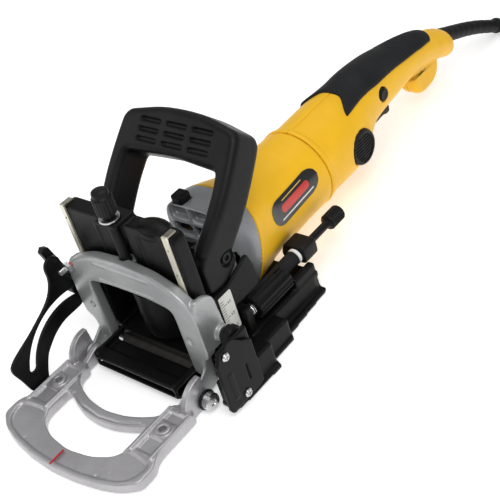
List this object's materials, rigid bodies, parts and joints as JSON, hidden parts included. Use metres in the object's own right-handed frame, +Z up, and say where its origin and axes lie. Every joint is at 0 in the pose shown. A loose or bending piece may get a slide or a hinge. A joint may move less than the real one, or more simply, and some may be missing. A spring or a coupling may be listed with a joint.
{
  "type": "biscuit joiner",
  "caption": "Corded plunge jointer: saw blade in a sprung base, folding fence on a rising bracket, barrel motor, rear switch handle and looped front handle.",
  "frame": {"origin": "middle of the bounding box, on the sole, without the free cord", "axes": "+Y from the blade end to the rear grip, +Z up from the sole, +X to the right seen from the blade end"},
  "size_m": [0.1946, 0.7735, 0.1586],
  "materials": {
    "black_plastic": "moulded glass-filled nylon, satin black",
    "rubber_pad": "soft overmoulded grip, matt black",
    "yellow_plastic": "moulded, semi-gloss orange yellow",
    "cast_aluminium": "die cast, lightly bead blasted",
    "gear_head_casting": "die cast, silver-grey painted",
    "steel": "turned or ground",
    "zinc_strip": "passivated pale yellow",
    "white_plastic": "moulded",
    "commutator_copper": "machined copper segments",
    "lamination": "stacked steel sheets",
    "carbon": "pressed carbon",
    "cord_rubber": "rubber sheath, matt black"
  },
  "bodies": {
    "base": {"base_casting": "black_plastic", "front_wall": "black_plastic", "d_handle": "black_plastic", "handle_screw_left": "black_plastic", "handle_screw_right": "black_plastic", "guide_strip_left": "zinc_strip", "guide_strip_right": "zinc_strip", "side_cover": "black_plastic", "cover_screw_upper": "steel", "cover_screw_lower": "steel", "turret_axle": "steel", "turret_spring": "steel", "return_spring_left": "steel", "return_spring_right": "steel"},
    "turret": {"depth_turret": "black_plastic"},
    "motor_unit": {"gear_housing": "gear_head_casting", "carriage_plate": "black_plastic", "motor_casing": "yellow_plastic", "depth_lug": "black_plastic", "depth_lock_nut": "white_plastic", "handle_shell_left": "yellow_plastic", "handle_shell_right": "yellow_plastic", "vent_disc_left": "black_plastic", "vent_disc_right": "black_plastic", "grip_pad": "rubber_pad", "stator": "lamination", "spindle_top_bearing": "steel", "spindle_low_bearing": "steel", "front_bearing": "steel", "rear_bearing": "steel", "carbon_brush_left": "carbon", "carbon_brush_right": "carbon", "strain_relief": "cord_rubber", "cord": "cord_rubber", "cord_coil": "cord_rubber", "mains_plug": "black_plastic"},
    "armature": {"motor_shaft": "steel", "armature_core": "lamination", "commutator": "commutator_copper", "cooling_fan": "black_plastic", "bevel_pinion": "steel"},
    "spindle": {"spindle": "steel", "bevel_gear": "steel", "clamp_nut": "steel", "saw_blade": "steel"},
    "trigger": {"trigger": "black_plastic"},
    "lock_on": {"lock_on_button": "black_plastic"},
    "spindle_lock": {"spindle_lock_button": "black_plastic"},
    "depth_rod": {"depth_rod": "black_plastic"},
    "arch": {"arch_bracket": "cast_aluminium", "hinge_pin_left": "steel", "hinge_pin_right": "steel", "stop_screw": "steel"},
    "height_screw": {"height_screw": "black_plastic"},
    "height_lock": {"height_lock_knob": "black_plastic"},
    "angle_lever": {"angle_lever": "black_plastic"},
    "fence": {"fence_casting": "cast_aluminium", "quadrant_plate": "black_plastic", "quadrant_screw_1": "steel", "quadrant_screw_2": "steel"}
  },
  "joints": [
    {"name": "plunge", "type": "slide", "parent": "base", "child": "motor_unit", "axis": [0, -1, 0], "range_m": [0, 0.018], "stiffness_N_per_m": 700, "springref_m": -0.015, "deforming": ["return_spring_left", "return_spring_right"]},
    {"name": "armature_spin", "type": "hinge", "parent": "motor_unit", "child": "armature", "pos_m": [-0.00495, -0.05844, 0.0465], "axis": [0, 1, 0], "continuous": true},
    {"name": "spindle_spin", "type": "hinge", "parent": "motor_unit", "child": "spindle", "pos_m": [-0.00495, -0.15444, 0.01], "axis": [0, 0, 1], "continuous": true},
    {"name": "trigger_press", "type": "hinge", "parent": "motor_unit", "child": "trigger", "pos_m": [-0.00495, 0.11356, 0.033], "axis": [-1, 0, 0], "range_deg": [0, 8], "stiffness_Nm_per_rad": 2.5, "springref_deg": -5.73},
    {"name": "lock_on_press", "type": "slide", "parent": "motor_unit", "child": "lock_on", "axis": [-1, 0, 0], "range_m": [0, 0.002], "stiffness_N_per_m": 900, "springref_m": -0.001},
    {"name": "spindle_lock_press", "type": "slide", "parent": "motor_unit", "child": "spindle_lock", "axis": [0, 0, -1], "range_m": [0, 0.003], "stiffness_N_per_m": 1200, "springref_m": -0.001},
    {"name": "depth_rod_turn", "type": "hinge", "parent": "motor_unit", "child": "depth_rod", "pos_m": [0.04255, -0.04844, 0.03], "axis": [0, 1, 0], "continuous": true},
    {"name": "turret_turn", "type": "hinge", "parent": "base", "child": "turret", "pos_m": [0.04755, -0.11144, 0.0295], "axis": [0, 1, 0], "continuous": true},
    {"name": "arch_lift", "type": "slide", "parent": "base", "child": "arch", "axis": [0, 0, 1], "range_m": [0, 0.027]},
    {"name": "height_screw_turn", "type": "hinge", "parent": "base", "child": "height_screw", "pos_m": [-0.00495, -0.17844, 0.12], "axis": [0, 0, 1], "range_deg": [0, 3240]},
    {"name": "height_lock_turn", "type": "hinge", "parent": "arch", "child": "height_lock", "pos_m": [0.06305, -0.17144, 0.045], "axis": [1, 0, 0], "range_deg": [-90, 90]},
    {"name": "angle_lever_turn", "type": "hinge", "parent": "arch", "child": "angle_lever", "pos_m": [-0.07295, -0.18153, 0.04962], "axis": [1, 0, 0], "range_deg": [-40, 60]},
    {"name": "fence_fold", "type": "hinge", "parent": "arch", "child": "fence", "pos_m": [-0.00495, -0.20024, 0.0076], "axis": [-1, 0, 0], "range_deg": [0, 90]}
  ],
  "couplings": [
    {"joint": "spindle_spin", "follows": "armature_spin", "ratio": 0.33333},
    {"joint": "height_screw_turn", "follows": "arch_lift", "rad_per_m": 2094.4}
  ]
}
